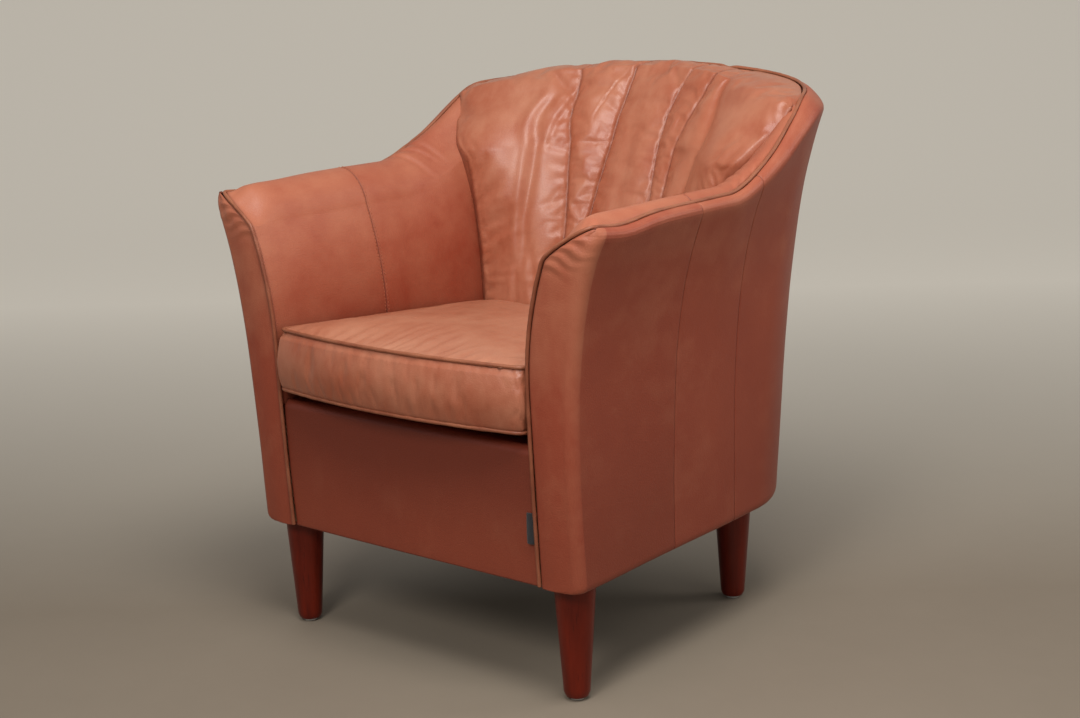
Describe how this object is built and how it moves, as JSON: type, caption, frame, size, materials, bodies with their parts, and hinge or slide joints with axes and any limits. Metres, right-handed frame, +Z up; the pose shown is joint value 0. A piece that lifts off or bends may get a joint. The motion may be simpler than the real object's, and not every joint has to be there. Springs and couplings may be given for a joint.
{
  "type": "tub chair",
  "caption": "Low upholstered tub chair with a rim that sweeps from the arms into an arched back, a channelled back cushion, a loose piped seat cushion and turned tapered legs.",
  "frame": {"origin": "on the floor, under the middle of the chair's overall length and width", "axes": "+Z up, the front faces -Y, +X to the right of a person who faces the chair"},
  "size_m": [0.6484, 0.6894, 0.7582],
  "materials": {
    "body_leather": "semi-aniline, smooth grain",
    "cushion_leather": "semi-aniline, smooth grain",
    "piping_leather": "covered cord",
    "frame_timber": "planed, unfinished",
    "ply": "sanded plywood",
    "panel_board": "pressed fibre board",
    "webbing": "woven elastic strap",
    "black_cloth": "non-woven",
    "foam": "open cell foam",
    "wadding": "polyester fibre",
    "zip": "coil zip on tape",
    "leg_wood": "mahogany stain, satin lacquer",
    "glide_plastic": "moulded",
    "zinc_steel": "zinc plated",
    "tag_cloth": "woven, bare"
  },
  "bodies": {
    "chair": {"front_rail": "frame_timber", "side_rail_left": "frame_timber", "side_rail_right": "frame_timber", "back_base_rail": "frame_timber", "seat_rear_rail": "frame_timber", "arm_front_former_left": "ply", "arm_front_former_right": "ply", "arm_top_rail_left": "frame_timber", "arm_top_rail_right": "frame_timber", "arm_tack_rail_left": "frame_timber", "arm_tack_rail_right": "frame_timber", "back_top_rail": "frame_timber", "back_post_left": "frame_timber", "back_post_right": "frame_timber", "corner_blocks": "frame_timber", "outer_board_left": "panel_board", "outer_board_right": "panel_board", "back_board": "panel_board", "inner_arm_board_left": "panel_board", "inner_arm_board_right": "panel_board", "back_webbing": "webbing", "seat_webbing": "webbing", "deck_pad": "foam", "deck_cloth": "black_cloth", "arm_pad_left": "foam", "arm_pad_right": "foam", "front_pad_left": "foam", "front_pad_right": "foam", "back_pad": "foam", "outer_wadding": "wadding", "arm_cover_left": "body_leather", "arm_cover_right": "body_leather", "side_band_left": "body_leather", "side_band_right": "body_leather", "back_cover": "body_leather", "inner_arm_front_left": "body_leather", "inner_arm_front_right": "body_leather", "inner_arm_rear_left": "body_leather", "inner_arm_rear_right": "body_leather", "apron": "body_leather", "rim_piping_left": "piping_leather", "rim_piping_right": "piping_leather", "back_cushion_cover": "cushion_leather", "back_cushion_fill": "wadding", "leg_front_left": "leg_wood", "leg_front_right": "leg_wood", "leg_back_left": "leg_wood", "leg_back_right": "leg_wood", "glides": "glide_plastic", "hanger_bolts": "zinc_steel", "tee_nuts": "zinc_steel", "dust_cover": "black_cloth", "seam_tag": "tag_cloth"},
    "seat_cushion": {"seat_cushion_top": "cushion_leather", "seat_cushion_bottom": "cushion_leather", "seat_cushion_border": "cushion_leather", "seat_cushion_piping": "piping_leather", "seat_cushion_foam": "foam", "seat_cushion_zip": "zip"}
  },
  "joints": [
    {"name": "seat_cushion_lift", "type": "slide", "parent": "chair", "child": "seat_cushion", "axis": [0, -0.5, 0.866], "range_m": [0, 0.5]}
  ]
}
